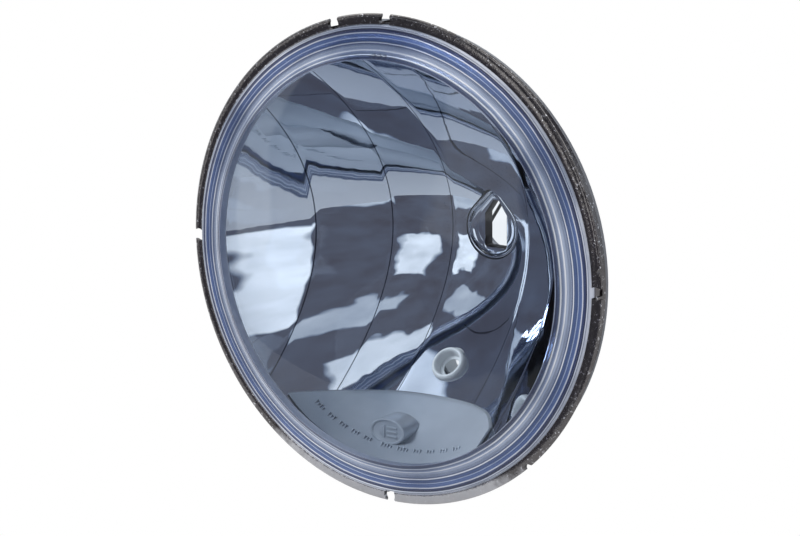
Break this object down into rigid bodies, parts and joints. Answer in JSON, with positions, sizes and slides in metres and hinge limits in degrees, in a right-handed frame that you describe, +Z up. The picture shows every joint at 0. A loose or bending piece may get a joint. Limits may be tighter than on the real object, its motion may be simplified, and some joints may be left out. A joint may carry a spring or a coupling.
{
  "type": "fog light insert",
  "caption": "Round front-lamp insert: stepped clear glass in a notched bright ring over a faceted reflector, with a spring-clip bulb seat and a position lamp bush.",
  "frame": {"origin": "on the lamp axis, in the plane of the ring's front face, at the front end of the ring's outer wall", "axes": "+Y along the lamp axis towards the back, so the light leaves along -Y; +Z up; +X to the right seen from the front"},
  "size_m": [0.22, 0.122, 0.22],
  "materials": {
    "chromed_rim": "mirror chrome",
    "clear_glass": "clear, faint blue",
    "sealant": "matte",
    "bright_metallising": "vacuum metallised, lacquered",
    "zinc_steel": "zinc plated",
    "satin_screen": "satin grey",
    "gasket_rubber": "matte",
    "seat_steel": "pressed and plated",
    "spring_wire": "drawn spring wire",
    "terminal_brass": "tinned brass",
    "pale_bush": "pale moulded plastic"
  },
  "bodies": {
    "lamp": {"carrier_ring": "chromed_rim", "lens_glass": "clear_glass", "lens_sealant": "sealant", "reflector": "bright_metallising", "ring_screws": "zinc_steel", "lower_screen": "satin_screen", "screen_badge": "satin_screen", "screen_screws": "zinc_steel", "bulb_funnel": "bright_metallising", "seat_gasket": "gasket_rubber", "bulb_seat_plate": "seat_steel", "seat_screws": "zinc_steel", "spring_bracket": "seat_steel", "bracket_rivets": "zinc_steel", "spring_catch": "seat_steel", "catch_rivets": "zinc_steel", "earth_terminal": "terminal_brass", "earth_rivet": "zinc_steel", "position_bush": "pale_bush"},
    "spring": {"retaining_spring": "spring_wire"}
  },
  "joints": [
    {"name": "spring_hinge", "type": "hinge", "parent": "lamp", "child": "spring", "pos_m": [0, 0.1006, 0.0195], "axis": [1, 0, 0], "range_deg": [0, 115]}
  ]
}
